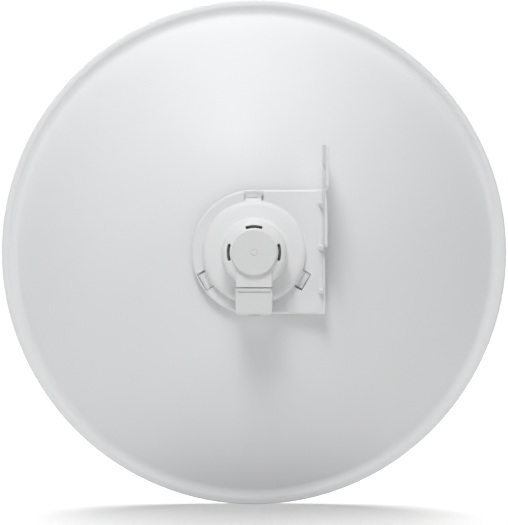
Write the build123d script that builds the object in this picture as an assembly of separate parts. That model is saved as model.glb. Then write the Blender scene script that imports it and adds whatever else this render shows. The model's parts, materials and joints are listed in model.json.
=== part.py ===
"""Outdoor wireless bridge: a round dish reflector with a tube radio feed, seen as it hangs on a mast.

Frame: millimetres, +Z up, +Y along the beam, +X to the right for someone standing behind the dish.
The origin is on the beam axis, on the plane where the steel bracket meets the back of the dish.
A "clock" angle is measured clockwise from 12 o'clock by that same person behind the dish.
"""
from build123d import *
from math import atan, cos, degrees, radians, sin
import os

os.makedirs("parts", exist_ok=True)

GAP = 0.1                       # running clearance between pieces that slide or turn on each other

# Dish reflector: a spun sheet paraboloid with a flat hub boss and a rolled rim
DISH_R = 260.0                  # outer radius over the rolled rim
FOCAL = 180.0                   # focal length of the paraboloid
DISH_T = 1.8                    # sheet thickness along the beam axis
DISH_Y = 4.0                    # where the back of the bare paraboloid would cross the beam axis
BOSS_R = 44.0                   # flat boss that the bracket bolts to
BOSS_RUN = 51.0                 # radius where the boss has joined the paraboloid
BOWL_R = 243.8                  # end of the paraboloid, start of the rim channel
CHANNEL_ROUND = 7.0             # hollow of the rim channel, seen from behind
CHANNEL_LEAN = 45.0             # steepest slope between channel and bead, in degrees
BEAD_ROUND = 3.7                # inner shoulder of the rim bead
EDGE_ROUND = 2.0                # outer shoulder of the rim bead
EDGE_Y = 93.8                   # front of the turned-in edge at the very outside
RIM_T = 1.5                     # sheet thickness across the rim
HUB_HOLE_R = 30.0               # hole for the feed

# Bracket: pressed L-shaped steel, round hub plate and a side flange for the pole clamp
PLATE_T = 2.5
PLATE_R = 60.4                  # radius of the round left side, half the height of the plate
PLATE_LOW = 59.4                # lower edge, just short of the upper one
SKIRT = 4.0                     # how far the rolled edge of the plate reaches toward the dish
SKIRT_ROUND = 2.4
BEND_X = 61.5                   # where the plate starts to bend into the flange
BEND_R = 4.5                    # inside radius of the bend
BEND_EDGE = 1.2                 # rounding of its ends
FLANGE_X = 66.0                 # inner face of the flange
FLANGE_REACH = (68.0, 45.0)     # reach behind the plate: top arm, cheek below it
FLANGE_STEPS = (59.0, 5.0)      # lower edge of the arm, lower edge of the cheek
FLANGE_TOP = (103.6, 98.6)      # height of the top corner near the dish and of the one behind
FLANGE_ROUND = 3.0
GUSSETS = (46.4, 4.4, -37.6)    # heights of the stiffening dimples in the bend
GUSSET_REACH = (4.5, 13.0)      # along the plate and along the flange
GUSSET_W = 5.5
PIVOT = (-25.0, 34.0)           # Y and Z of the elevation pivot hole
PIVOT_R = 4.25
TILT_R = 47.0                   # radius of the elevation slot about the pivot
TILT_ARC = (84.0, 40.0)         # start of the slot and its angle, from +Y toward +Z
WINDOW_R = (50.2, 58.4)         # bayonet windows, inner and outer distance from the axis
WINDOW_W = 18.3
WINDOW_CLOCKS = (0.0, 120.0, 240.0)
PLATE_HOLE_R = 31.0

# Four screws that hold bracket, dish and backing ring together
SCREW_CIRCLE = 38.0
SCREW_CLOCKS = (45.0, 135.0, 225.0, 315.0)
SCREW_R = 2.5
SCREW_HOLE_R = 2.75
HEAD_R = 4.6
HEAD_H = 3.2
SCREW_TAIL = 9.8
HEX_SOCKET_R = 1.6
NUT_FLAT = 8.0
NUT_H = 4.0
RING_R = (31.5, 43.5)
RING_T = 2.5

# Rear housing: bell-shaped moulding with a tower, a cable spine and three bayonet hooks
BELL_R = 49.8
BELL_WALL = 2.4
BELL_SIDE = 4.4                 # height of the straight side at the base
BELL_ROUND = 6.5
FACE_R = 33.0                   # inner end of the gently sloped face
FACE_SLOPE = 12.0               # slope of that face in degrees
TOWER_R = (30.6, 30.2)          # radius at the foot and near the top
FOOT_RISE = 1.9                 # rise of the small flare at the foot
TOWER_TOP = -55.0
CROWN_R = 21.2                  # where the crown starts to fall away round the cap
CROWN_SLOPE = 19.0              # slope of the crown in degrees
SHOULDER = 5.0                  # rounding between crown and tower wall
TOWER_BORE = 28.0
CROWN_INSIDE = ((22.9, -52.4), (27.2, -50.9), (28.0, -49.4))
CAP_HOLE_R = 17.1
SLOT_R = 23.8                   # latch slots in the crown
SLOT_W = 2.6
SLOT_SPAN = 32.0
LATCH_CLOCKS = {"latch_top": 0.0, "latch_right": 90.0, "latch_left": 270.0}
SLEEVE_R = 25.0                 # inner sleeve that guides the feed
SLEEVE_Y = (-22.0, -8.0)
WEB_Y = (-22.0, -19.6)
POCKET = (13.0, 22.9, 28.2, -27.4, -19.6)    # latch block: width, radii, depths
POCKET_SLOT = (9.4, 23.85, 25.35, -28.0, -24.5)
STEM_R = (51.4, 57.4)           # hook stem inside the window
TAB_Y = -0.9                    # back of the hook, sunk a little in the window
TAB_RIB = (8.6, 53.0, 55.8, 0.5)     # raised pad on the hook: width, radii, height
FOOT_R = 56.2                   # outer side of the foot, clear of the skirt
STEM_W = (-8.4, 7.2)            # its two ends across the window
FOOT_OUT = 2.4                  # how far the foot reaches under the plate
FOOT_T = 2.5

# Cable spine and port cover
SPINE_W = 33.6
SPINE_Z = (-32.4, -13.0)
SPINE_CAVITY = (26.0, -49.6, -19.0)
RAIL_X = (13.2, 15.2)
RAIL_END = -46.0
RAIL_Y = (-49.5, -10.5)
RAIL_LIP = (1.0, -30.0, -27.0)
COVER_W = 34.6
COVER_Z = (-58.0, -33.0)
COVER_Y = -53.2
COVER_WALL = 2.4
COVER_FOOT = ((-33.0, -17.4), (-36.0, -16.0), (-42.0, -14.7), (-46.5, -12.8), (-49.6, -9.4), (-50.4, -3.3),
              (-58.0, -3.3))
GRIP_RISE = 0.8
GRIP_H = 3.3
GRIP_GROOVE = (1.3, 0.6)
CABLE_Y = -35.0
SEAL_HOLE_R = 4.3
SEAL_R = 6.4
SEAL_FLANGE_R = 8.0

# Rear cap
CAP_R = 21.1
CAP_T = 4.5
CAP_ROUND = 0.8
CAP_MARK_R = 3.2
CAP_MARK_W = 0.5
CAP_MARK_D = 0.3
CAP_SPIGOT_T = 3.4
CAP_GROOVE = (17.7, 19.3, 1.2)

# Feed tube and everything in it
TUBE_R = 22.5
TUBE_BORE = 20.7
TUBE_Y = (-50.9, 168.0)
NOTCH = (10.0, -47.5, -42.5)
PORT_WINDOW = (25.0, -43.0, -26.0)
RAIL_STEP = (17.0, 2.1, 1.0)    # board rails: distance from the axis, thickness, gap from the mid plane
BOARD = (36.8, -41.0, 57.0)
BOARD_T = 1.6
BOARD_SCREWS = ((15.2, 23.0), (-15.2, 23.0))
BOARD_SCREW_R = 1.2
BOARD_HOLE_R = 1.3
BOARD_HEAD = (2.2, 1.4)
BOSS_POST_R = 2.6
SCREW_DEPTH = 8.0
PLUG_T = 2.5
O_RING = (21.3, 162.0, 164.4)

# Collar in front of the dish
COLLAR_R = 22.6
SEAL_LIP = (27.0, 3.0)

# Nose: dielectric cone, sub-reflector and cap
GUIDE_R = (19.0, 20.5)
GUIDE_Y = (60.0, 166.0)
GUIDE_END = 2.5
CONE_TIP = 142.0
SUB_R = 30.0
SUB_TIP = 180.0
SUB_FACE = 192.0
SUB_BACK = 195.0
NOSE_Y = (158.0, 207.0)
NOSE_R = 33.5
NOSE_WALL = 2.2

# Electronics on the board
PROBES = ((-12.0, 82.0), (0.0, 74.0))
PROBE_R = 0.65
PROBE_TAIL = 50.0
PROBE_ARM = (9.0, 11.0)
BUSHING_R = 2.2
CAN_H = 3.2
CPU_CAN = (28.0, -16.0, 20.0)
RF_CAN = (26.0, 27.0, 50.0)
CAN_T = 0.3
PAD_T = 1.0
SPREADER = (28.0, -20.0, 24.0, 2.4)
FINS = 5
FIN_T = 1.6
FIN_H = 5.2
CHIPS = (
    (-6.0, -4.0, 12.0, 12.0, 1.4),
    (7.0, 9.0, 9.0, 12.0, 1.1),
    (0.0, 34.0, 7.0, 7.0, 0.9),
    (5.0, 44.0, 5.0, 5.0, 0.9),
)
COILS = ((-9.0, 8.0), (0.0, 8.0), (9.0, 8.0))
COIL = (6.5, 6.5, 4.0)
TRANSFORMER = (15.0, -17.0, -5.0, 6.2)
JACK = (16.0, -41.5, -27.5, 17.0)
JACK_MOUTH = (11.9, -39.6, -32.2, 12.8)
JACK_TAB = (6.2, 2.6)
CONTACTS = 8
CONTACT_PITCH = 1.02
CONTACT = (0.45, 0.9, 9.0)
LED_X = 10.4
LED = (1.6, 0.8, 0.6)
GUIDE_ROD_R = 1.2
GUIDE_ROD_END = -16.4
GUIDE_TAB = (-10.0, -8.0)
RESET_Y = -23.0
RESET_SWITCH = (4.4, 2.6)
RESET_STEM = (0.9, 0.7)
RESET_R = 1.3
RESET_TRAVEL = 0.5
RESET_END = -21.9
RESET_COLLAR = (2.4, 1.2)

# Leaf latches that hold the feed in the housing
LEAF_W = 9.0
LEAF_R = 24.2
LEAF_T = 0.8
LEAF_Y = (-49.6, -24.5)
PAD_LEAF = (13.0, 22.8, 0.8)    # pad behind the slot: width, inner radius, thickness
BEAD = (24.6, 1.2, 1.3)         # rolled root of the leaf: its distance from the axis, radius, radius of its seat
BARB = (8.0, 21.2, -46.0, -43.0)


def block(x0, x1, y0, y1, z0, z1):
    """Axis-aligned block between two corners."""
    middle = ((x0 + x1) / 2, (y0 + y1) / 2, (z0 + z1) / 2)
    return Pos(*middle) * Box(abs(x1 - x0), abs(y1 - y0), abs(z1 - z0))


def spun(*points):
    """Turned solid about the beam axis from (radius, y) corners."""
    return revolve(make_face(Polyline(*points, close=True)), Axis.Y, 360)


def ring(inner, outer, y0, y1):
    """Plain ring about the beam axis."""
    return spun((inner, y0), (outer, y0), (outer, y1), (inner, y1))


def disc(radius, y0, y1, x=0.0, z=0.0):
    """Cylinder along the beam, from y0 to y1."""
    return Pos(x, (y0 + y1) / 2, z) * Rot(90, 0, 0) * Cylinder(radius, y1 - y0)


def post(radius, z0, z1, x=0.0, y=0.0):
    """Upright cylinder, from z0 to z1."""
    return Pos(x, y, (z0 + z1) / 2) * Cylinder(radius, z1 - z0)


def pressed(outline, y0, y1):
    """Flat outline drawn in X and Z, given thickness from y0 to y1."""
    return extrude(Plane.XZ.offset(-y1) * outline, amount=y1 - y0)


def clocked(shape, clock):
    """Shape drawn at 12 o'clock, turned clockwise about the beam axis."""
    return Rot(0, clock, 0) * shape


def bowl_y(radius):
    """Back surface of the paraboloid."""
    return DISH_Y + radius**2 / (4 * FOCAL)


def bowl_line(start, end, shift):
    """Exact parabola between two radii, moved along the beam by shift."""
    slope = start / (2 * FOCAL)
    middle = (start + end) / 2
    knee = bowl_y(start) + shift + slope * (middle - start)
    return Bezier((start, bowl_y(start) + shift), (middle, knee), (end, bowl_y(end) + shift))


def rim_outline():
    """Rear and front lines of the rim from the end of the paraboloid outward and back."""
    slope = atan(BOWL_R / (2 * FOCAL))
    lean = radians(CHANNEL_LEAN)
    hollow = (BOWL_R + CHANNEL_ROUND * sin(slope), bowl_y(BOWL_R) - CHANNEL_ROUND * cos(slope))
    span = CHANNEL_ROUND + BEAD_ROUND
    bead = (hollow[0] + span * sin(lean), hollow[1] + span * cos(lean))
    crest = bead[1] - BEAD_ROUND
    turn = (DISH_R - EDGE_ROUND, crest + EDGE_ROUND)
    front_r = BOWL_R - RIM_T * sin(slope)
    front_end = (bead[0] - (BEAD_ROUND - RIM_T) * sin(lean), bead[1] - (BEAD_ROUND - RIM_T) * cos(lean))
    swing = degrees(slope) + CHANNEL_LEAN
    return front_r, [
        CenterArc(hollow, CHANNEL_ROUND, 90 + degrees(slope), -swing),
        CenterArc(bead, BEAD_ROUND, 270 - CHANNEL_LEAN, CHANNEL_LEAN),
        Line((bead[0], crest), (turn[0], crest)),
        CenterArc(turn, EDGE_ROUND, 270, 90),
        Polyline((DISH_R, turn[1]), (DISH_R, EDGE_Y), (DISH_R - RIM_T, EDGE_Y), (DISH_R - RIM_T, turn[1])),
        CenterArc(turn, EDGE_ROUND - RIM_T, 270, 90),
        Line((turn[0], crest + RIM_T), (bead[0], crest + RIM_T)),
        CenterArc(bead, BEAD_ROUND - RIM_T, 270 - CHANNEL_LEAN, CHANNEL_LEAN),
        Spline((front_r, bowl_y(front_r) + DISH_T), front_end,
               tangents=[(cos(slope), sin(slope)), (cos(lean), -sin(lean))]),
    ]


def dish_reflector():
    """Spun dish: boss, paraboloid, channel, rolled rim."""
    front_r, rim = rim_outline()
    boss = Polyline(
        (BOSS_RUN, bowl_y(BOSS_RUN) + DISH_T), (BOSS_R, DISH_T), (HUB_HOLE_R, DISH_T),
        (HUB_HOLE_R, 0.0), (BOSS_R, 0.0), (BOSS_RUN, bowl_y(BOSS_RUN)),
    )
    outline = [bowl_line(BOSS_RUN, BOWL_R, 0.0), *rim, bowl_line(BOSS_RUN, front_r, DISH_T), boss]
    dish = revolve(make_face(outline), Axis.Y, 360)
    for clock in SCREW_CLOCKS:
        dish -= clocked(disc(SCREW_HOLE_R, -DISH_T, 2 * DISH_T, z=SCREW_CIRCLE), clock)
    return dish


def plate_outline(inset):
    """Hub plate in X and Z: round on the left, square on the right."""
    radius = PLATE_R - inset
    low = -(PLATE_LOW - inset)
    square = Pos(BEND_X / 2, (radius + low) / 2) * Rectangle(BEND_X, radius - low)
    keep = Pos(0, (radius + low) / 2) * Rectangle(4 * radius, radius - low)
    return (Circle(radius) & keep) + square


def flange_profile():
    """Side flange in Y and Z, with the pivot hole and the curved elevation slot."""
    near = -PLATE_T
    root = -PLATE_T - BEND_R
    arm, cheek = FLANGE_REACH
    high, low = FLANGE_STEPS
    corners = [
        (near, FLANGE_TOP[0]), (-arm, FLANGE_TOP[1]), (-arm, high), (-cheek, high), (-cheek, low), (root, low),
        (root, PLATE_R), (near, PLATE_R),
    ]
    outline = make_face(Polyline(*corners, close=True))
    outline = fillet([v for v in outline.vertices() if v.X < root - GAP], FLANGE_ROUND)
    outline -= Pos(*PIVOT) * Circle(PIVOT_R)
    return outline - SlotArc(CenterArc(PIVOT, TILT_R, *TILT_ARC), 2 * PIVOT_R)


def bend():
    """Quarter-round bend that joins plate and flange."""
    centre = (BEND_X, -PLATE_T - BEND_R)
    quarter = Pos(*centre) * (Circle(BEND_R + PLATE_T) - Circle(BEND_R))
    quarter &= Pos(centre[0] + BEND_R, centre[1] + BEND_R) * Rectangle(2 * BEND_R, 2 * BEND_R)
    strip = Pos(0, 0, -PLATE_LOW) * extrude(quarter, amount=PLATE_R + PLATE_LOW)
    hollow = [e for e in strip.edges().filter_by(GeomType.CIRCLE) if abs(e.radius - BEND_R) < GAP]
    return fillet(hollow, BEND_EDGE)


def gusset(height):
    """Pressed stiffener across the inside of the bend."""
    inward, back = GUSSET_REACH
    toe = (FLANGE_X - inward, -PLATE_T)
    heel = (FLANGE_X, -PLATE_T - back)
    wedge = extrude(make_face(Polyline(toe, (FLANGE_X, -PLATE_T), heel, close=True)), amount=GUSSET_W)
    crest = wedge.faces().sort_by(Axis((0, 0, 0), (-back, -inward, 0)))[-1].edges()
    long_edges = crest.filter_by(lambda e: e.length > 2 * inward)
    return Pos(0, 0, height - GUSSET_W / 2) * fillet(long_edges, GUSSET_W / 3)


def dish_bracket():
    """L bracket: skirted hub plate, bend, flange, gussets, windows and holes."""
    plate = pressed(plate_outline(0.0), -PLATE_T, SKIRT)
    rear_edges = plate.edges().group_by(Axis.Y)[0].filter_by(lambda e: e.center().X < BEND_X - GAP)
    plate = fillet(rear_edges, SKIRT_ROUND)
    plate -= pressed(plate_outline(PLATE_T), 0.0, 2 * SKIRT)
    plate -= block(BEND_X - 2 * PLATE_T, 2 * BEND_X, 0.0, 2 * SKIRT, -PLATE_R - SKIRT, PLATE_R + SKIRT)
    flange = extrude(Plane.YZ.offset(FLANGE_X) * flange_profile(), amount=PLATE_T)
    bracket = plate + bend() + flange
    for height in GUSSETS:
        bracket += gusset(height)
    bracket -= disc(PLATE_HOLE_R, -2 * PLATE_T, PLATE_T)
    window = block(-WINDOW_W / 2, WINDOW_W / 2, -2 * PLATE_T, 2 * SKIRT, *WINDOW_R)
    for clock in WINDOW_CLOCKS:
        bracket -= clocked(window, clock)
    for clock in SCREW_CLOCKS:
        bracket -= clocked(disc(SCREW_HOLE_R, -2 * PLATE_T, PLATE_T, z=SCREW_CIRCLE), clock)
    return bracket


def backing_ring():
    """Steel ring that spreads the screw load on the front of the boss."""
    body = ring(*RING_R, DISH_T, DISH_T + RING_T)
    for clock in SCREW_CLOCKS:
        body -= clocked(disc(SCREW_HOLE_R, 0.0, 2 * RING_T + DISH_T, z=SCREW_CIRCLE), clock)
    return body


def bracket_screw():
    """Button-head screw with a hexagon socket, head behind the bracket."""
    head_back = -PLATE_T - HEAD_H
    head = disc(HEAD_R, head_back, -PLATE_T, z=SCREW_CIRCLE)
    head = fillet(head.edges().group_by(Axis.Y)[0], HEAD_H / 2)
    socket = pressed(Pos(0, SCREW_CIRCLE) * RegularPolygon(HEX_SOCKET_R, 6), head_back - 1, head_back + HEAD_H / 2)
    return head - socket + disc(SCREW_R, -PLATE_T, SCREW_TAIL, z=SCREW_CIRCLE)


def bracket_nut():
    """Hexagon nut in front of the backing ring."""
    start = DISH_T + RING_T
    hexagon = Pos(0, SCREW_CIRCLE) * (RegularPolygon(NUT_FLAT / 2, 6, major_radius=False) - Circle(SCREW_R))
    return pressed(hexagon, start, start + NUT_H)


def centre_collar():
    """Front collar: sleeve through the dish, hood over the nuts, snout round the feed."""
    sleeve = HUB_HOLE_R - 2 * GAP
    corners = [
        (COLLAR_R, -2.4), (sleeve, -2.4), (sleeve, 11.0), (46.0, 11.0), (49.6, 9.5), (53.5, 9.95),
        (54.6, 10.7), (53.8, 11.6), (49.0, 13.2), (32.0, 17.4), (29.4, 19.4), (27.4, 30.0), (COLLAR_R, 30.0),
    ]
    return spun(*corners)


def collar_seal():
    """Wiper lip at the mouth of the collar."""
    outer, height = SEAL_LIP
    start = 30.0
    return spun((TUBE_R + 0.06, start), (outer, start), (outer - 0.6, start + height / 2),
                (TUBE_R + 1.2, start + height), (TUBE_R + 0.06, start + height))


def bell():
    """Turned shell of the housing: base, sloped face, tower with its crown."""
    base = -PLATE_T - GAP
    side = base - BELL_SIDE
    slope, fall = radians(FACE_SLOPE), radians(CROWN_SLOPE)
    corner = BELL_R - BELL_ROUND
    face_end = (corner + BELL_ROUND * sin(slope), side - BELL_ROUND * cos(slope))
    face_y = face_end[1] - (face_end[0] - FACE_R) * sin(slope) / cos(slope)
    shoulder = TOWER_R[1] - SHOULDER
    crown_end = shoulder + SHOULDER * sin(fall)
    crown_y = TOWER_TOP + (crown_end - CROWN_R) * sin(fall) / cos(fall)
    turn = crown_y + SHOULDER * cos(fall)
    outer = [
        Line((BELL_R, base), (BELL_R, side)),
        CenterArc((corner, side), BELL_ROUND, 270 + FACE_SLOPE, 90 - FACE_SLOPE),
        Polyline(face_end, (FACE_R, face_y), (TOWER_R[0], face_y - FOOT_RISE), (TOWER_R[1], turn)),
        CenterArc((shoulder, turn), SHOULDER, 270 + CROWN_SLOPE, 90 - CROWN_SLOPE),
        Polyline((crown_end, crown_y), (CROWN_R, TOWER_TOP), (CAP_HOLE_R, TOWER_TOP)),
    ]
    inside = [
        (CAP_HOLE_R, TOWER_TOP), (CAP_HOLE_R, CROWN_INSIDE[0][1]), *CROWN_INSIDE,
        (TOWER_BORE, face_y + BELL_WALL), (FACE_R, face_y + BELL_WALL),
        (corner, side - BELL_ROUND + BELL_WALL), (BELL_R - BELL_WALL, side), (BELL_R - BELL_WALL, base),
        (BELL_R, base),
    ]
    return revolve(make_face([*outer, Polyline(*inside)]), Axis.Y, 360)


def latch_block():
    """Block at 12 o'clock around the root of one leaf latch."""
    width, low, high, back, front = POCKET
    return block(-width / 2, width / 2, back, front, low, high)


def pocket_slot():
    """Slot for the leaf and round seat for its rolled root."""
    width, low, high, back, front = POCKET_SLOT
    reach, _, seat = BEAD
    slot = block(-width / 2, width / 2, back, front, low, high)
    return slot + Pos(0, front, reach) * Rot(0, 90, 0) * Cylinder(seat, width)


def hook():
    """Bayonet hook at 12 o'clock: neck at the bell, tab sunk in the window, foot under the plate."""
    left, right = STEM_W
    root = BELL_R - BELL_WALL + GAP
    rear = -PLATE_T - GAP
    corners = [
        (rear - 1.6, root), (rear - 1.6, BELL_R), (rear, STEM_R[0] + GAP), (TAB_Y, STEM_R[0] + 0.6),
        (TAB_Y, STEM_R[1]), (-GAP, STEM_R[1]), (-GAP, FOOT_R), (FOOT_T + GAP, FOOT_R),
        (FOOT_T + GAP, STEM_R[0]), (rear, STEM_R[0]), (rear, root),
    ]
    side = make_face(Polyline(*corners, close=True))
    stem = Pos(left, 0, 0) * extrude(Plane.YZ * side, amount=right - left)
    foot = block(left - FOOT_OUT, right, GAP, GAP + FOOT_T, STEM_R[0], FOOT_R)
    width, low, high, rise = TAB_RIB
    middle = (left + right) / 2
    return stem + foot + block(middle - width / 2, middle + width / 2, TAB_Y - rise, 0, low, high)


def spine():
    """Square cable spine below the tower with its two cover rails."""
    half = SPINE_W / 2
    low, high = SPINE_Z
    body = block(-half, half, TOWER_TOP, -12.6, low, high)
    body = fillet(body.edges().filter_by(Axis.Z).group_by(Axis.Y)[0], 1.6)
    lip, lip_back, lip_front = RAIL_LIP
    for side in (-1, 1):
        body += block(side * RAIL_X[0], side * RAIL_X[1], *RAIL_Y, RAIL_END, low + 2)
        body += block(side * RAIL_X[0], side * (RAIL_X[1] + lip), lip_back, lip_front, RAIL_END, low + 2)
    return body


def rear_housing():
    """Bell, spine, guide sleeve, latch pockets and hooks in one moulding."""
    cavity_w, cavity_back, cavity_front = SPINE_CAVITY
    hollow = disc(TOWER_BORE, CROWN_INSIDE[0][1], 0.0) + disc(CAP_HOLE_R, 2 * TOWER_TOP, 0.0)
    body = bell() + (spine() - hollow)
    body -= block(-cavity_w / 2, cavity_w / 2, cavity_back, cavity_front, 2 * SPINE_Z[0], -TUBE_R + 2)
    body += ring(TUBE_R + GAP, SLEEVE_R, *SLEEVE_Y) + ring(TUBE_R + GAP, TOWER_BORE + GAP, *WEB_Y)
    slot = SlotArc(CenterArc((0, 0), SLOT_R, 90 - SLOT_SPAN / 2, SLOT_SPAN), SLOT_W)
    cutter = pressed(slot, TOWER_TOP - 1, CROWN_INSIDE[1][1] + GAP)
    for clock in LATCH_CLOCKS.values():
        body -= clocked(cutter, clock)
        body += clocked(latch_block(), clock)
        body -= clocked(pocket_slot(), clock)
    for clock in WINDOW_CLOCKS:
        body += clocked(hook(), clock)
    return body - disc(TUBE_R + GAP, CROWN_INSIDE[0][1], 0.0)


def port_cover():
    """Sliding cover over the plug: U-shaped shell with a finger grip and a cable hole."""
    half = COVER_W / 2
    low, high = COVER_Z
    side = [(high, COVER_Y), *COVER_FOOT, (low, COVER_Y)]
    shell = extrude(Plane.YZ * make_face(Polyline(*[(y, z) for z, y in side], close=True)), amount=half, both=True)
    shell = fillet(shell.edges().filter_by(Axis.Z).group_by(Axis.Y)[0], 1.6)
    shell = fillet(shell.edges().filter_by(Axis.Y).group_by(Axis.Z)[0], 3.0)
    grip = block(-half + 2, half - 2, COVER_Y - GRIP_RISE, COVER_Y + GAP, high - GRIP_H, high)
    shell += fillet(grip.edges().filter_by(Axis.X).group_by(Axis.Y)[0], GRIP_RISE * 0.6)
    groove_h, groove_d = GRIP_GROOVE
    start = high - GRIP_H
    shell -= block(-half + 3, half - 3, COVER_Y - 1, COVER_Y + groove_d, start - groove_h, start)
    inner = RAIL_X[1] + GAP
    shell -= block(-inner, inner, RAIL_Y[0] - GAP, 0.0, low + COVER_WALL, high + 1)
    lip, lip_back, lip_front = RAIL_LIP
    shell -= block(-inner - lip, inner + lip, lip_back - GAP, lip_front + GAP, RAIL_END - 1, high + 1)
    return shell - post(SEAL_R, low - 1, low + COVER_WALL + 1, y=CABLE_Y)


def cable_seal():
    """Rubber grommet in the floor of the cover."""
    low = COVER_Z[0]
    top = low + COVER_WALL
    body = post(SEAL_R, low - 0.8, top, y=CABLE_Y) + post(SEAL_FLANGE_R, top, top + 0.9, y=CABLE_Y)
    return body - post(SEAL_HOLE_R, low - 2, top + 2, y=CABLE_Y)


def rear_cap():
    """Round cap on the tower, with a plain ring mark on its face."""
    back = TOWER_TOP - CAP_T
    inner, outer, depth = CAP_GROOVE
    face = disc(CAP_R, back, TOWER_TOP)
    face = fillet(face.edges().group_by(Axis.Y)[0], CAP_ROUND)
    face += disc(CAP_HOLE_R - GAP, TOWER_TOP, TOWER_TOP + CAP_SPIGOT_T)
    face -= ring(inner, outer, TOWER_TOP - depth, TOWER_TOP)
    return face - ring(CAP_MARK_R - CAP_MARK_W, CAP_MARK_R, back - 1, back + CAP_MARK_D)


def rear_cap_seal():
    """Flat seal in the groove of the cap."""
    inner, outer, depth = CAP_GROOVE
    return ring(inner + GAP, outer - GAP, TOWER_TOP - depth + GAP, TOWER_TOP)


def board_rail():
    """Pair of rails that grip the right edge of the board."""
    start, thick, gap = RAIL_STEP
    upper = block(start, TUBE_R - 1, BOARD[1], BOARD[2], gap, gap + thick)
    lower = block(start, TUBE_R - 1, BOARD[1], BOARD[2], -gap - thick, -gap)
    return upper + lower


def feed_tube():
    """Long tube with latch notches, port window, board rails and screw posts."""
    back, front = TUBE_Y
    body = ring(TUBE_BORE, TUBE_R, back, front)
    rail = board_rail()
    body += rail + mirror(rail, Plane.YZ)
    for x, y in BOARD_SCREWS:
        body += post(BOSS_POST_R, -TUBE_R, -BOARD_T / 2, x, y) & disc(TUBE_R - 1, back, front)
        body -= post(BOARD_SCREW_R, -SCREW_DEPTH - 1, 1, x, y)
        body -= post(BOARD_HEAD[0] + GAP, BOARD_T / 2, TUBE_BORE / 2, x, y)
    width, notch_back, notch_front = NOTCH
    notch = block(-width / 2, width / 2, notch_back, notch_front, TUBE_BORE - 1, TUBE_R + 1)
    for clock in LATCH_CLOCKS.values():
        body -= clocked(notch, clock)
    window_w, window_back, window_front = PORT_WINDOW
    body -= block(-window_w / 2, window_w / 2, window_back, window_front, -2 * TUBE_R, -TUBE_BORE / 2)
    body -= post(RESET_R + GAP, -2 * TUBE_R, -TUBE_BORE / 2, y=RESET_Y)
    inner, groove_back, groove_front = O_RING
    return body - ring(inner, TUBE_R + 1, groove_back, groove_front)


def tube_end_plug():
    """Disc that closes the back of the tube."""
    return disc(TUBE_BORE - GAP, TUBE_Y[0], TUBE_Y[0] + PLUG_T)


def nose_seal():
    """O-ring between tube and nose cap."""
    inner, back, front = O_RING
    return ring(inner + 0.02, TUBE_R + 0.05, back + GAP, front - GAP)


def nose_cap():
    """Weather cap over the sub-reflector."""
    back, front = NOSE_Y
    inner = NOSE_R - NOSE_WALL
    outside = [
        Polyline((TUBE_R + GAP, back), (TUBE_R + 2.3, back), (TUBE_R + 2.3, 170.0), (NOSE_R - 0.7, 180.0),
                 (NOSE_R, 183.0), (NOSE_R, 197.0)),
        Bezier((NOSE_R, 197.0), (NOSE_R, 204.0), (NOSE_R / 2, front), (0.0, front)),
        Line((0.0, front), (0.0, front - NOSE_WALL)),
        Bezier((0.0, front - NOSE_WALL), (inner / 2, front - NOSE_WALL), (inner, 203.0), (inner, 196.5)),
        Polyline((inner, 196.5), (inner, 183.4), (inner - 0.6, 181.2), (TUBE_R + GAP, 171.0),
                 (TUBE_R + GAP, back)),
    ]
    return revolve(make_face(outside), Axis.Y, 360)


def sub_reflector():
    """Shallow metal cone that folds the beam back to the dish."""
    return spun((0.0, SUB_TIP), (SUB_R, SUB_FACE), (SUB_R, SUB_BACK), (8.0, SUB_BACK), (0.0, SUB_BACK - 4.0))


def dielectric_support():
    """Plastic plug and cone between waveguide and sub-reflector."""
    plug = GUIDE_R[0] - GAP
    rim = SUB_R - 0.4
    return spun((0.0, CONE_TIP), (plug, 156.0), (plug, 168.0), (plug + 1.5, 170.0), (rim, 190.6),
                (rim, 191.8), (0.0, SUB_TIP - GAP))


def waveguide():
    """Aluminium tube closed at the back, with two holes for the probes."""
    inner, outer = GUIDE_R
    back, front = GUIDE_Y
    body = ring(inner, outer, back, front) + disc(outer, back, back + GUIDE_END)
    for x, _ in PROBES:
        body -= disc(BUSHING_R, back - 1, back + GUIDE_END + 1, x=x, z=probe_height())
    return body


def probe_height():
    """Height of the probe pins, lying on the board."""
    return BOARD_T / 2 + PROBE_R


def probe_pins():
    """Two bent pins at right angles to each other, one for each polarisation."""
    z = probe_height()
    (side_x, side_y), (up_x, up_y) = PROBES
    side_arm, up_arm = PROBE_ARM
    side = disc(PROBE_R, PROBE_TAIL, side_y, x=side_x, z=z)
    side += Pos(side_x + side_arm / 2, side_y, z) * Rot(0, 90, 0) * Cylinder(PROBE_R, side_arm)
    side += Pos(side_x, side_y, z) * Sphere(PROBE_R)
    upright = disc(PROBE_R, PROBE_TAIL, up_y, x=up_x, z=z) + post(PROBE_R, z, z + up_arm, up_x, up_y)
    upright += Pos(up_x, up_y, z) * Sphere(PROBE_R)
    return [side, upright]


def probe_bushings():
    """Insulating beads round the pins in the back of the waveguide."""
    back = GUIDE_Y[0]
    z = probe_height()
    beads = []
    for x, _ in PROBES:
        bead = disc(BUSHING_R - 0.02, back - 0.6, back + GUIDE_END + 0.6, x=x, z=z)
        beads.append(bead - disc(PROBE_R + 0.02, 0.0, 2 * back, x=x, z=z))
    return beads


def main_board():
    """Circuit board along the tube."""
    width, back, front = BOARD
    board = block(-width / 2, width / 2, back, front, -BOARD_T / 2, BOARD_T / 2)
    for x, y in BOARD_SCREWS:
        board -= post(BOARD_HOLE_R, -BOARD_T, BOARD_T, x, y)
    return board


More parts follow.
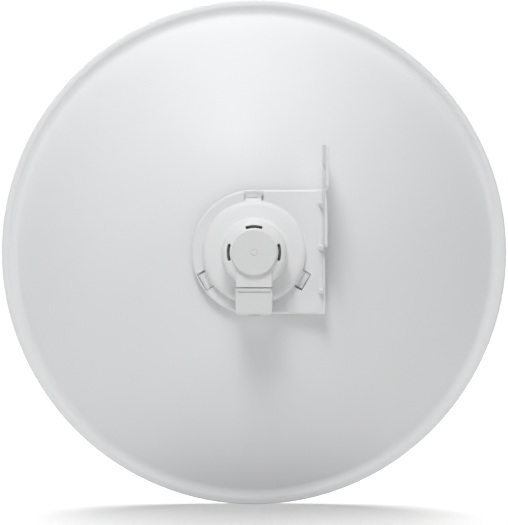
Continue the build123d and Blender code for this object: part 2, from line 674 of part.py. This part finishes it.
def board_screw(x, y):
    """Pan-head screw down into its post."""
    radius, height = BOARD_HEAD
    top = BOARD_T / 2
    head = post(radius, top, top + height, x, y)
    head = fillet(head.edges().group_by(Axis.Z)[-1], height / 2)
    head -= block(x - radius, x + radius, y - 0.3, y + 0.3, top + height / 2, top + 2 * height)
    return head + post(BOARD_SCREW_R - 0.02, -SCREW_DEPTH, top, x, y)


def shield_can(width, back, front):
    """Pressed tin lid over a group of chips."""
    low = BOARD_T / 2
    can = block(-width / 2, width / 2, back, front, low, low + CAN_H)
    can = fillet(can.edges().filter_by(Axis.Z), 1.0)
    inner = width / 2 - CAN_T
    return can - block(-inner, inner, back + CAN_T, front - CAN_T, low - 1, low + CAN_H - CAN_T)


def board_chips():
    """Packages under the cans and coils under the board."""
    low = BOARD_T / 2
    parts = [block(x - w / 2, x + w / 2, y - d / 2, y + d / 2, low, low + h) for x, y, w, d, h in CHIPS]
    w, d, h = COIL
    parts += [block(x - w / 2, x + w / 2, y - d / 2, y + d / 2, -low - h, -low) for x, y in COILS]
    return parts


def thermal_pad():
    """Soft pad between the processor can and the spreader."""
    low = BOARD_T / 2 + CAN_H
    return block(-CPU_CAN[0] / 2 + 2, CPU_CAN[0] / 2 - 2, CPU_CAN[1] + 2, CPU_CAN[2] - 2, low, low + PAD_T)


def heat_spreader():
    """Finned aluminium block on the pad."""
    width, back, front, thick = SPREADER
    low = BOARD_T / 2 + CAN_H + PAD_T
    body = block(-width / 2, width / 2, back, front, low, low + thick)
    pitch = (width - 3 * FIN_T) / (FINS - 1)
    for i in range(FINS):
        x = (i - (FINS - 1) / 2) * pitch
        body += block(x - FIN_T / 2, x + FIN_T / 2, back, front, low, low + thick + FIN_H)
    return body


def ethernet_transformer():
    """Isolation transformer under the board."""
    width, back, front, height = TRANSFORMER
    low = -BOARD_T / 2
    body = block(-width / 2, width / 2, back, front, low - height, low)
    return fillet(body.edges().filter_by(Axis.Y), 0.6)


def ethernet_jack():
    """Screened network socket that opens downward."""
    width, back, front, height = JACK
    mouth_w, mouth_back, mouth_front, mouth_depth = JACK_MOUTH
    tab_w, tab_d = JACK_TAB
    top = -BOARD_T / 2
    low = top - height
    body = block(-width / 2, width / 2, back, front, low, top)
    body -= block(-mouth_w / 2, mouth_w / 2, mouth_back, mouth_front, low - 1, low + mouth_depth)
    return body - block(-tab_w / 2, tab_w / 2, mouth_front, mouth_front + tab_d, low - 1, low + mouth_depth)


def jack_contacts():
    """Eight spring wires along the back wall of the socket."""
    width, thick, length = CONTACT
    wall = JACK_MOUTH[1]
    top = -BOARD_T / 2 - JACK[3] + JACK_MOUTH[3]
    wires = []
    for i in range(CONTACTS):
        x = (i - (CONTACTS - 1) / 2) * CONTACT_PITCH
        corners = [(wall, top), (wall + thick, top), (wall, top - length)]
        wire = extrude(Plane.YZ * make_face(Polyline(*corners, close=True)), amount=width / 2, both=True)
        wires.append(Pos(x, 0, 0) * wire)
    return wires


def status_leds():
    """Two small lights beside the socket."""
    w, d, h = LED
    low = -BOARD_T / 2
    y = CABLE_Y
    return [block(x - w / 2, x + w / 2, y - d / 2, y + d / 2, low - h, low) for x in (-LED_X, LED_X)]


def light_guides():
    """Clear rods that carry the light down to the port window."""
    start = -BOARD_T / 2 - LED[2] - GAP
    rods = []
    for side in (-1, 1):
        rod = post(GUIDE_ROD_R, GUIDE_ROD_END, start, side * LED_X, CABLE_Y)
        tab = block(side * JACK[0] / 2, side * LED_X, CABLE_Y - 0.7, CABLE_Y + 0.7, *GUIDE_TAB)
        rods.append(rod + tab)
    return rods


def reset_switch():
    """Tactile switch under the board."""
    size, height = RESET_SWITCH
    radius, rise = RESET_STEM
    low = -BOARD_T / 2
    body = block(-size / 2, size / 2, RESET_Y - size / 2, RESET_Y + size / 2, low - height, low)
    return body + post(radius, low - height - rise, low - height, y=RESET_Y)


def reset_button():
    """Plunger that reaches from the switch to the wall of the tube."""
    top = -BOARD_T / 2 - RESET_SWITCH[1] - RESET_STEM[1] - RESET_TRAVEL - GAP / 2
    radius, height = RESET_COLLAR
    plunger = post(RESET_R, RESET_END, top, y=RESET_Y)
    plunger += post(radius, top - height, top, y=RESET_Y)
    return fillet(plunger.edges().group_by(Axis.Z)[0], RESET_R / 3)


def latch(clock):
    """Spring leaf with a rolled root, a pad behind the slot and a barb in the notch of the tube."""
    back, front = LEAF_Y
    half = LEAF_W / 2
    reach, root, _ = BEAD
    leaf = block(-half, half, back, front, LEAF_R, LEAF_R + LEAF_T)
    leaf += Pos(0, front, reach) * Rot(0, 90, 0) * Cylinder(root, LEAF_W)
    pad_w, pad_low, pad_t = PAD_LEAF
    leaf += block(-pad_w / 2, pad_w / 2, back - pad_t, back, pad_low, LEAF_R + LEAF_T)
    width, low, barb_back, barb_front = BARB
    corners = [(barb_back, LEAF_R), (barb_back, low), (barb_back + 1, low), (barb_front, LEAF_R)]
    side = make_face(Polyline(*corners, close=True))
    leaf += extrude(Plane.YZ * side, amount=width / 2, both=True)
    return clocked(leaf, clock)


def save(name, shapes):
    """Write one sub-part, a single solid or a group of separate ones."""
    group = shapes if isinstance(shapes, list) else [shapes]
    solids = [solid for shape in group for solid in shape.solids()]
    body = solids[0] if len(solids) == 1 else Compound(children=solids)
    export_step(body, f"parts/{name}.step")


save("dish_reflector", dish_reflector())
save("dish_bracket", dish_bracket())
save("backing_ring", backing_ring())
save("bracket_screws", [clocked(bracket_screw(), clock) for clock in SCREW_CLOCKS])
save("bracket_nuts", [clocked(bracket_nut(), clock) for clock in SCREW_CLOCKS])
save("centre_collar", centre_collar())
save("collar_seal", collar_seal())
save("rear_housing", rear_housing())
save("port_cover", port_cover())
save("cable_seal", cable_seal())
save("rear_cap", rear_cap())
save("rear_cap_seal", rear_cap_seal())
save("feed_tube", feed_tube())
save("tube_end_plug", tube_end_plug())
save("nose_seal", nose_seal())
save("nose_cap", nose_cap())
save("sub_reflector", sub_reflector())
save("dielectric_support", dielectric_support())
save("waveguide", waveguide())
save("probe_pins", probe_pins())
save("probe_bushings", probe_bushings())
save("main_board", main_board())
save("board_screws", [board_screw(x, y) for x, y in BOARD_SCREWS])
save("cpu_shield", shield_can(*CPU_CAN))
save("rf_shield", shield_can(*RF_CAN))
save("board_chips", board_chips())
save("thermal_pad", thermal_pad())
save("heat_spreader", heat_spreader())
save("ethernet_transformer", ethernet_transformer())
save("ethernet_jack", ethernet_jack())
save("jack_contacts", jack_contacts())
save("status_leds", status_leds())
save("light_guides", light_guides())
save("reset_switch", reset_switch())
save("reset_button", reset_button())
for latch_name, latch_clock in LATCH_CLOCKS.items():
    save(latch_name, latch(latch_clock))
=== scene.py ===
"""Looks for the outdoor wireless bridge: materials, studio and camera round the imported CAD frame."""

import json
import math

import bpy
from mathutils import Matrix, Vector


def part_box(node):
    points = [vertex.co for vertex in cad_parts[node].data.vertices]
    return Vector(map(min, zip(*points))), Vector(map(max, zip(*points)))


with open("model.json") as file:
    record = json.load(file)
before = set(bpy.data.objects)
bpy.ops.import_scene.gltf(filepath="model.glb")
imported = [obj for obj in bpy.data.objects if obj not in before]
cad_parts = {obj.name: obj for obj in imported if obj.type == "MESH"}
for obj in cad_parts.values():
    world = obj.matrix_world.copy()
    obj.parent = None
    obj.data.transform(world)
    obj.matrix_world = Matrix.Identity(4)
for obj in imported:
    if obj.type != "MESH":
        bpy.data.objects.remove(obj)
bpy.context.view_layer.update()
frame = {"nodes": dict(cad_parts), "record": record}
MM = 0.001
CENTRE = (0.0, 0.0, 0.0)        # beam axis at the bracket plate

FLOOR_GAP = 0.2 * MM            # between the rim and the floor
FLOOR_HALF = 8.0
FLOOR_BOUNCE = 0.74             # share of its light that the floor sends back up
FLOOR_GLOW = 0.23               # light that the floor under the dish gives off, like a lit table
FLOOR_FADE = (0.30, 0.55)       # distances from the centre between which that light fades out, in metres
FLOOR_SHOWN = 0.27              # glow that the camera sees under the dish
FLOOR_SWEEP = (0.42, 1.10)      # distances between which the camera sees the floor turn white, in metres

GREYER = {"port_cover": "cap_plastic"}      # nodes that wear another slot than the record names


# ---------------------------------------------------------------- material helpers

class Look:
    """One node material: a Principled shader with its textures in object space, in metres."""

    def __init__(self, name, color, rough, metallic=0.0):
        self.mat = bpy.data.materials.new(name)
        self.mat.use_nodes = True
        self.mat.diffuse_color = (*color, 1.0)
        self.tree = self.mat.node_tree
        self.shader = self.tree.nodes["Principled BSDF"]
        self.color = color
        self.shader.inputs["Base Color"].default_value = (*color, 1.0)
        self.shader.inputs["Roughness"].default_value = rough
        self.shader.inputs["Metallic"].default_value = metallic
        self.rough = rough
        self.coords = self.node("ShaderNodeTexCoord").outputs["Object"]
        self.normal = None
        self.tint = None

    def node(self, kind, **inputs):
        made = self.tree.nodes.new(kind)
        for key, value in inputs.items():
            if isinstance(value, bpy.types.NodeSocket):
                self.tree.links.new(value, made.inputs[key])
            else:
                made.inputs[key].default_value = value
        return made

    def set(self, **values):
        for key, value in values.items():
            self.shader.inputs[key.replace("_", " ")].default_value = value
        return self

    def noise(self, scale, detail=2.0, stretch=(1.0, 1.0, 1.0)):
        """Noise value with `scale` features a metre; stretch squeezes it along an axis."""
        coords = self.node("ShaderNodeMapping", Vector=self.coords, Scale=stretch).outputs[0]
        return self.node("ShaderNodeTexNoise", Vector=coords, Scale=scale, Detail=detail).outputs["Fac"]

    def remap(self, value, low, high, to_low, to_high):
        """Maps low..high to to_low..to_high; each may be a socket."""
        ends = {"From Min": low, "From Max": high, "To Min": to_low, "To Max": to_high}
        return self.node("ShaderNodeMapRange", Value=value, **ends).outputs[0]

    def product(self, first, second):
        made = self.tree.nodes.new("ShaderNodeMath")
        made.operation = "MULTIPLY"
        self.tree.links.new(first, made.inputs[0])
        self.tree.links.new(second, made.inputs[1])
        return made.outputs[0]

    def blend(self, factor, first, second):
        """Colour mix; first and second are sockets or colours."""
        made = self.tree.nodes.new("ShaderNodeMix")
        made.data_type = "RGBA"
        for slot, value in ((0, factor), (6, first), (7, second)):
            if isinstance(value, bpy.types.NodeSocket):
                self.tree.links.new(value, made.inputs[slot])
            elif slot:
                made.inputs[slot].default_value = (*value, 1.0)
            else:
                made.inputs[slot].default_value = value
        return made.outputs[2]

    def mottle(self, amount, scale):
        """Broad colour variation."""
        dark = tuple(c * (1 - amount) for c in self.color)
        light = tuple(min(1.0, c * (1 + amount)) for c in self.color)
        fac = self.remap(self.noise(scale, 4.0), 0.3, 0.7, 0.0, 1.0)
        self.tint = self.blend(fac, dark, light)
        return self

    def vary_rough(self, amount, scale, stretch=(1.0, 1.0, 1.0)):
        """Broad variation of the gloss."""
        spread = (self.rough - amount, self.rough + amount)
        value = self.remap(self.noise(scale, 3.0, stretch), 0.3, 0.7, *spread)
        self.tree.links.new(value, self.shader.inputs["Roughness"])
        return self

    def soft_edges(self, radius):
        """Rounds the shading across hard edges."""
        made = self.node("ShaderNodeBevel", Radius=radius)
        made.samples = 4
        self.normal = made.outputs[0]
        return self

    def bump(self, value, distance):
        """Relief on top of what is already there."""
        made = self.node("ShaderNodeBump", Height=value, Distance=distance, Strength=1.0)
        if self.normal is not None:
            self.tree.links.new(self.normal, made.inputs["Normal"])
        self.normal = made.outputs[0]
        return self

    def grain(self, scale, distance, detail=2.0, stretch=(1.0, 1.0, 1.0)):
        """Noise relief."""
        return self.bump(self.noise(scale, detail, stretch), distance)

    def edge_wear_and_highlight(self, radius, color, amount):
        """Blends another colour in where the surface turns sharply; the lighter rims used here are a painted
        highlight along the edges, and on bare metal also rubbed wear.
        """
        bevel = self.node("ShaderNodeBevel", Radius=radius)
        bevel.samples = 4
        plain = self.tree.nodes.new("ShaderNodeNewGeometry").outputs["Normal"]
        dot = self.tree.nodes.new("ShaderNodeVectorMath")
        dot.operation = "DOT_PRODUCT"
        self.tree.links.new(bevel.outputs[0], dot.inputs[0])
        self.tree.links.new(plain, dot.inputs[1])
        turned = self.remap(dot.outputs["Value"], 0.98, 0.80, 0.0, amount)
        patchy = self.remap(self.noise(90.0, 5.0), 0.35, 0.6, 0.2, 1.0)
        self.tint = self.blend(self.product(turned, patchy), self.base(), color)
        return self

    def dust_and_shade(self, color, amount, distance):
        """Blends another colour into the corners that ambient occlusion finds: painted shade where that
        colour is darker than the surface, a dust film where it is lighter.
        """
        hidden = self.node("ShaderNodeAmbientOcclusion", Distance=distance)
        hidden.samples = 4
        mask = self.remap(hidden.outputs["AO"], 1.0, 0.35, 0.0, amount)
        self.tint = self.blend(mask, self.base(), color)
        return self

    def base(self):
        """Colour so far: a socket or a plain colour."""
        return self.tint if self.tint is not None else self.color

    def done(self):
        """Connects colour and normal, and gives the material."""
        if self.tint is not None:
            self.tree.links.new(self.tint, self.shader.inputs["Base Color"])
        if self.normal is not None:
            self.tree.links.new(self.normal, self.shader.inputs["Normal"])
        return self.mat


# ---------------------------------------------------------------- materials

def powder_coat(name, color, rough):
    """White powder coat: orange peel over a slightly uneven sheet."""
    look = Look(name, color, rough).mottle(0.012, 7.0)
    look.vary_rough(0.05, 60.0).soft_edges(0.5 * MM)
    look.grain(18.0, 0.12 * MM, 1.0).grain(900.0, 0.010 * MM, 3.0)
    # painted highlight: a lighter white rim on the sharp edges of the coat
    # painted shade: grey blended into the corners of the white coat by occlusion
    look.edge_wear_and_highlight(0.5 * MM, (0.93, 0.93, 0.93), 0.5).dust_and_shade((0.62, 0.62, 0.60), 0.12, 12 * MM)
    return look.set(Specular_IOR_Level=0.42, Coat_Weight=0.06, Coat_Roughness=0.25).done()


def moulded(name, color, rough, peel=0.012):
    """Moulded outdoor plastic with a fine spark-eroded grain."""
    look = Look(name, color, rough).mottle(0.010, 22.0).vary_rough(0.05, 140.0).soft_edges(0.35 * MM)
    look.grain(60.0, 0.04 * MM, 1.0).grain(2400.0, peel * MM, 2.0)
    # painted shade in the corners of the white plastics by occlusion; on the dark grey plastic it is a paler
    # dust film
    look.dust_and_shade((0.66, 0.66, 0.64), 0.10, 5 * MM)
    return look.set(Specular_IOR_Level=0.40).done()


def rubber(name):
    """Matt black rubber, dusty in its grooves."""
    look = Look(name, (0.022, 0.022, 0.024), 0.72).mottle(0.25, 120.0).vary_rough(0.08, 300.0)
    look.soft_edges(0.3 * MM).grain(1800.0, 0.02 * MM)
    return look.dust_and_shade((0.10, 0.10, 0.10), 0.4, 3 * MM).done()


def brushed(name, color, rough, stretch, bump=0.006):
    """Bare or plated metal; stretch gives the direction of its grain."""
    look = Look(name, color, rough, 1.0).mottle(0.05, 40.0).vary_rough(0.09, 600.0, stretch)
    look.soft_edges(0.25 * MM).grain(900.0, bump * MM, 4.0, stretch)
    # lighter rim on the metal edges: rubbed wear and a painted highlight
    return look.edge_wear_and_highlight(0.3 * MM, tuple(min(1.0, c * 1.25) for c in color), 0.5).done()


def tinned(name):
    """Tinned sheet with a faint crystal pattern."""
    look = Look(name, (0.72, 0.72, 0.69), 0.34, 1.0).mottle(0.06, 260.0).vary_rough(0.10, 220.0)
    return look.soft_edges(0.3 * MM).grain(420.0, 0.02 * MM, 4.0).done()


def board_mask(name):
    """Solder mask with fine tracks, vias and bare pads."""
    look = Look(name, (0.012, 0.105, 0.050), 0.34).mottle(0.12, 60.0)
    lines = {"Mortar Size": 0.10, "Color1": (0, 0, 0, 1), "Color2": (0, 0, 0, 1), "Mortar": (1, 1, 1, 1)}
    grid = look.node("ShaderNodeTexBrick", Vector=look.coords, Scale=260.0, **lines).outputs["Color"]
    tracks = look.product(grid, look.remap(look.noise(90.0, 1.0), 0.48, 0.52, 0.0, 1.0))
    look.tint = look.blend(tracks, look.base(), (0.030, 0.210, 0.095))
    spots = look.node("ShaderNodeTexVoronoi", Vector=look.coords, Scale=420.0)
    pads = look.remap(spots.outputs["Distance"], 0.16, 0.13, 0.0, 1.0)
    look.tint = look.blend(pads, look.tint, (0.72, 0.60, 0.33))
    return look.bump(tracks, 0.03 * MM).set(Coat_Weight=0.4, Coat_Roughness=0.15).done()


def epoxy(name):
    """Moulded chip casing."""
    look = Look(name, (0.018, 0.018, 0.020), 0.55).mottle(0.2, 300.0).vary_rough(0.08, 500.0)
    return look.soft_edges(0.2 * MM).grain(3200.0, 0.012 * MM).done()


def plated(name):
    """Gold-plated brass."""
    look = Look(name, (0.83, 0.60, 0.24), 0.24, 1.0).mottle(0.06, 300.0).vary_rough(0.08, 700.0)
    return look.soft_edges(0.15 * MM).grain(1500.0, 0.004 * MM).done()


def soft_pad(name):
    """Heat-conducting pad."""
    look = Look(name, (0.30, 0.42, 0.60), 0.8).mottle(0.08, 200.0).vary_rough(0.06, 300.0)
    return look.soft_edges(0.3 * MM).grain(1200.0, 0.03 * MM).done()


def natural(name):
    """Uncoloured plastic that lets a little light in."""
    look = Look(name, (0.84, 0.83, 0.79), 0.46).mottle(0.02, 30.0).vary_rough(0.06, 120.0)
    look.soft_edges(0.3 * MM).grain(300.0, 0.02 * MM)
    return look.set(Subsurface_Weight=0.25, Subsurface_Scale=0.004).done()


def clear(name, color, rough):
    """Clear plastic."""
    look = Look(name, color, rough).mottle(0.01, 60.0).vary_rough(0.03, 200.0).grain(400.0, 0.004 * MM)
    return look.set(Transmission_Weight=0.9, IOR=1.49).done()


SLOTS = {
    "dish_paint": powder_coat("dish_paint", (0.860, 0.865, 0.872), 0.56),
    "bracket_paint": powder_coat("bracket_paint", (0.850, 0.855, 0.862), 0.44),
    "white_plastic": moulded("white_plastic", (0.860, 0.863, 0.868), 0.46),
    "cap_plastic": moulded("cap_plastic", (0.800, 0.803, 0.808), 0.42, 0.006),
    "grey_plastic": moulded("grey_plastic", (0.14, 0.145, 0.15), 0.5),
    "black_rubber": rubber("black_rubber"),
    "zinc_steel": brushed("zinc_steel", (0.60, 0.61, 0.63), 0.40, (1.0, 1.0, 1.0), 0.012),
    "stainless": brushed("stainless", (0.66, 0.65, 0.63), 0.30, (1.0, 0.15, 1.0)),
    "bare_aluminium": brushed("bare_aluminium", (0.77, 0.78, 0.79), 0.34, (1.0, 0.04, 1.0)),
    "spring_steel": brushed("spring_steel", (0.40, 0.39, 0.36), 0.36, (1.0, 0.10, 1.0)),
    "tinned_steel": tinned("tinned_steel"),
    "gold_brass": plated("gold_brass"),
    "board_green": board_mask("board_green"),
    "black_epoxy": epoxy("black_epoxy"),
    "pad_blue": soft_pad("pad_blue"),
    "natural_plastic": natural("natural_plastic"),
    "led_lens": clear("led_lens", (0.95, 0.93, 0.75), 0.2),
    "clear_plastic": clear("clear_plastic", (0.93, 0.96, 0.97), 0.12),
}

for row in frame["record"]["subparts"]:
    node = frame["nodes"][row["node"]]
    node.data.materials.clear()
    node.data.materials.append(SLOTS[GREYER.get(row["node"], row["material_slot"])])


# ---------------------------------------------------------------- studio

def link(obj):
    bpy.context.scene.collection.objects.link(obj)
    return obj


def area_light(name, place, target, size, power):
    """White rectangular lamp that points at the target."""
    data = bpy.data.lights.new(name, "AREA")
    data.shape = "RECTANGLE"
    data.size, data.size_y = size
    data.energy = power
    lamp = link(bpy.data.objects.new(name, data))
    lamp.location = place
    lamp.rotation_euler = (Vector(target) - Vector(place)).to_track_quat("-Z", "Y").to_euler()
    return lamp


def floor(level):
    """Pale floor at a height, blending into the white surroundings."""
    mesh = bpy.data.meshes.new("studio_floor")
    corners = [(x * FLOOR_HALF, y * FLOOR_HALF, level) for x, y in ((-1, -1), (1, -1), (1, 1), (-1, 1))]
    mesh.from_pydata(corners, [], [(0, 1, 2, 3)])
    obj = link(bpy.data.objects.new("studio_floor", mesh))
    look = Look("studio_floor", (0.90, 0.90, 0.90), 0.9).mottle(0.004, 3.0)
    look.set(Specular_IOR_Level=0.0, Emission_Color=(1.0, 1.0, 1.0, 1.0))
    seen = look.node("ShaderNodeLightPath").outputs["Is Camera Ray"]
    length = look.tree.nodes.new("ShaderNodeVectorMath")
    length.operation = "LENGTH"
    look.tree.links.new(look.coords, length.inputs[0])
    away = length.outputs["Value"]
    given = look.remap(away, *FLOOR_FADE, FLOOR_GLOW, 0.0)
    shown = look.remap(away, *FLOOR_SWEEP, FLOOR_SHOWN, 1.0)
    glow = look.remap(seen, 0.0, 1.0, given, shown)
    look.tree.links.new(glow, look.shader.inputs["Emission Strength"])
    look.tint = look.blend(seen, (FLOOR_BOUNCE,) * 3, look.base())
    obj.data.materials.append(look.done())
    return obj


def only_lit_by(obj, others, own):
    """Gives obj its own lamp and keeps the other lamps off it."""
    for lamp in (own, *others):
        group = bpy.data.collections.new(lamp.name + "_link")
        group.objects.link(obj)
        lamp.light_linking.receiver_collection = group
        group.collection_objects[0].light_linking.link_state = "INCLUDE" if lamp is own else "EXCLUDE"


def surroundings(seen, light):
    """White to the camera, dimmer as a light."""
    world = bpy.data.worlds.new("studio")
    world.use_nodes = True
    bpy.context.scene.world = world
    tree = world.node_tree
    tree.nodes.clear()
    mix = tree.nodes.new("ShaderNodeMixShader")
    path = tree.nodes.new("ShaderNodeLightPath")
    tree.links.new(path.outputs["Is Camera Ray"], mix.inputs["Fac"])
    for slot, color, strength in ((1, (0.97, 0.985, 1.0, 1.0), light), (2, (1.0, 1.0, 1.0, 1.0), seen)):
        plain = tree.nodes.new("ShaderNodeBackground")
        plain.inputs["Color"].default_value = color
        plain.inputs["Strength"].default_value = strength
        tree.links.new(plain.outputs[0], mix.inputs[slot])
    out = tree.nodes.new("ShaderNodeOutputWorld")
    tree.links.new(mix.outputs[0], out.inputs["Surface"])


def camera(distance, lens, shift):
    """Level camera behind the dish on its beam axis; shift moves the frame up, in picture widths."""
    data = bpy.data.cameras.new("camera")
    data.sensor_width = 36.0
    data.lens = lens
    data.shift_y = shift
    data.clip_end = 60.0
    cam = link(bpy.data.objects.new("camera", data))
    cam.location = (0.0, -distance, 0.0)
    cam.rotation_euler = (math.radians(90), 0.0, 0.0)
    bpy.context.scene.camera = cam


floor_obj = floor(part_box("dish_reflector")[0].z - FLOOR_GAP)
surroundings(seen=1.02, light=0.057)
STUDIO = [
    area_light("key", (-0.14, -1.10, 1.12), CENTRE, (0.40, 0.55), 10.8),
    area_light("overhead", (-0.10, -0.35, 1.60), CENTRE, (1.2, 0.8), 10.0),
    area_light("left", (-1.60, -1.00, 0.35), CENTRE, (0.8, 1.2), 4.1),
    area_light("right", (1.60, -1.00, 0.35), CENTRE, (0.8, 1.2), 3.3),
    area_light("front", (0.70, 1.60, 0.95), CENTRE, (1.2, 1.2), 9.0),
]
only_lit_by(floor_obj, STUDIO, area_light("floor_wash", (0.0, 0.5, 1.7), (0.0, 0.1, -0.26), (2.4, 2.0), 66.0))
camera(distance=1.25, lens=88.8, shift=-0.01943)

bpy.context.scene.view_settings.view_transform = "Standard"
bpy.context.scene.view_settings.look = "None"
